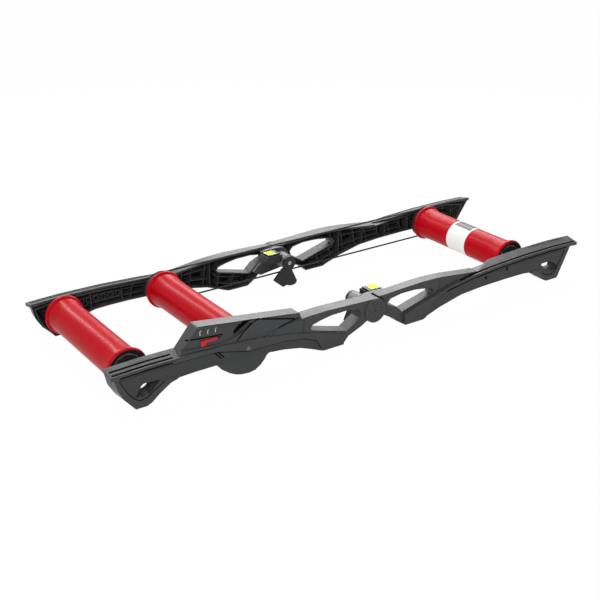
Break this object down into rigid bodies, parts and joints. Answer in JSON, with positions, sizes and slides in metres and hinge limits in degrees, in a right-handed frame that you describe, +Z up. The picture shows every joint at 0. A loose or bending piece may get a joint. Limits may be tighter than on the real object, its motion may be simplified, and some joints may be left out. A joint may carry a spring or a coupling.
{
  "type": "bike rollers",
  "caption": "Folding bicycle rollers with waisted drums between moulded side frames, a round drive belt and a magnetic brake with a slider.",
  "frame": {"origin": "on the floor, below the middle of the hinge axis, midway between the two side frames", "axes": "+X towards the single front drum, +Y towards the belt side, +Z up"},
  "size_m": [1.426, 0.48, 0.1546],
  "materials": {
    "frame_plastic": "fine-grained charcoal moulded plastic",
    "black_plastic": "satin black moulded plastic",
    "cap_plastic": "satin black moulded plastic",
    "drum_paint": "glossy red",
    "red_plastic": "satin red",
    "steel": "bright zinc-plated",
    "alloy": "turned",
    "magnet": "nickel-coated",
    "rubber": "matt black rubber"
  },
  "bodies": {
    "rear_frame": {"near_rear_frame": "frame_plastic", "near_rear_pad_1": "rubber", "near_rear_pad_2": "rubber", "far_rear_frame": "frame_plastic", "far_rear_pad_1": "rubber", "far_rear_pad_2": "rubber", "near_hinge_pin": "steel", "near_hinge_disc": "black_plastic", "near_hinge_sleeve": "alloy", "near_hinge_foot": "black_plastic", "far_lock_housing": "black_plastic", "rear_axle": "steel", "rear_axle_near_nut": "steel", "rear_axle_far_nut": "steel", "middle_axle": "steel", "middle_axle_near_screw": "steel", "middle_axle_far_screw": "steel", "brake_inner_cover": "black_plastic", "cover_upper_magnets": "magnet", "cover_lower_magnets": "magnet", "brake_cover": "black_plastic", "brake_hood": "frame_plastic", "drive_belt": "rubber"},
    "front_frame": {"near_front_frame": "frame_plastic", "near_front_pad_1": "rubber", "near_front_pad_2": "rubber", "far_front_frame": "frame_plastic", "far_front_pad_1": "rubber", "far_front_pad_2": "rubber", "far_hinge_pin": "steel", "far_hinge_disc": "black_plastic", "far_hinge_sleeve": "alloy", "far_hinge_foot": "black_plastic", "near_lock_housing": "black_plastic", "front_axle": "steel", "front_axle_near_nut": "steel", "front_axle_far_nut": "steel"},
    "rear_drum": {"rear_drum_shell": "drum_paint", "rear_drum_near_cap": "cap_plastic", "rear_drum_near_bearing": "steel", "rear_drum_far_cap": "cap_plastic", "rear_drum_far_bearing": "steel"},
    "middle_drum": {"middle_drum_shell": "drum_paint", "middle_drum_near_cap": "cap_plastic", "middle_drum_near_bearing": "steel", "middle_drum_far_cap": "cap_plastic", "middle_drum_far_bearing": "steel", "brake_rotor": "alloy"},
    "front_drum": {"front_drum_shell": "drum_paint", "front_drum_near_cap": "cap_plastic", "front_drum_near_bearing": "steel", "front_drum_far_cap": "cap_plastic", "front_drum_far_bearing": "steel"},
    "resistance_slider": {"resistance_slider": "red_plastic", "slider_link": "steel"},
    "magnet_carrier": {"magnet_carrier": "black_plastic", "carrier_upper_magnets": "magnet", "carrier_lower_magnets": "magnet"},
    "near_lock_button": {"near_lock_button": "black_plastic"},
    "far_lock_button": {"far_lock_button": "black_plastic"}
  },
  "joints": [
    {"name": "frame_fold", "type": "hinge", "parent": "rear_frame", "child": "front_frame", "pos_m": [0, 0, 0.067], "axis": [0, 1, 0], "range_deg": [0, 95], "deforming": ["drive_belt"]},
    {"name": "rear_drum_spin", "type": "hinge", "parent": "rear_frame", "child": "rear_drum", "pos_m": [-0.6417, 0, 0.068], "axis": [0, 1, 0], "continuous": true},
    {"name": "middle_drum_spin", "type": "hinge", "parent": "rear_frame", "child": "middle_drum", "pos_m": [-0.36898, 0, 0.068], "axis": [0, 1, 0], "continuous": true},
    {"name": "front_drum_spin", "type": "hinge", "parent": "front_frame", "child": "front_drum", "pos_m": [0.51799, 0, 0.068], "axis": [0, 1, 0], "continuous": true},
    {"name": "magnet_turn", "type": "hinge", "parent": "rear_frame", "child": "magnet_carrier", "pos_m": [-0.36898, 0, 0.068], "axis": [0, 1, 0], "range_deg": [0, 52.7]},
    {"name": "resistance_slide", "type": "slide", "parent": "rear_frame", "child": "resistance_slider", "axis": [1, 0, 0], "range_m": [0, 0.04]},
    {"name": "near_lock_press", "type": "slide", "parent": "front_frame", "child": "near_lock_button", "axis": [0, 0, -1], "range_m": [0, 0.004], "stiffness_N_per_m": 800, "springref_m": -0.003},
    {"name": "far_lock_press", "type": "slide", "parent": "rear_frame", "child": "far_lock_button", "axis": [0, 0, -1], "range_m": [0, 0.004], "stiffness_N_per_m": 800, "springref_m": -0.003}
  ],
  "couplings": [
    {"joint": "front_drum_spin", "follows": "middle_drum_spin", "ratio": 1},
    {"joint": "resistance_slide", "follows": "magnet_turn", "m_per_rad": 0.04345}
  ]
}
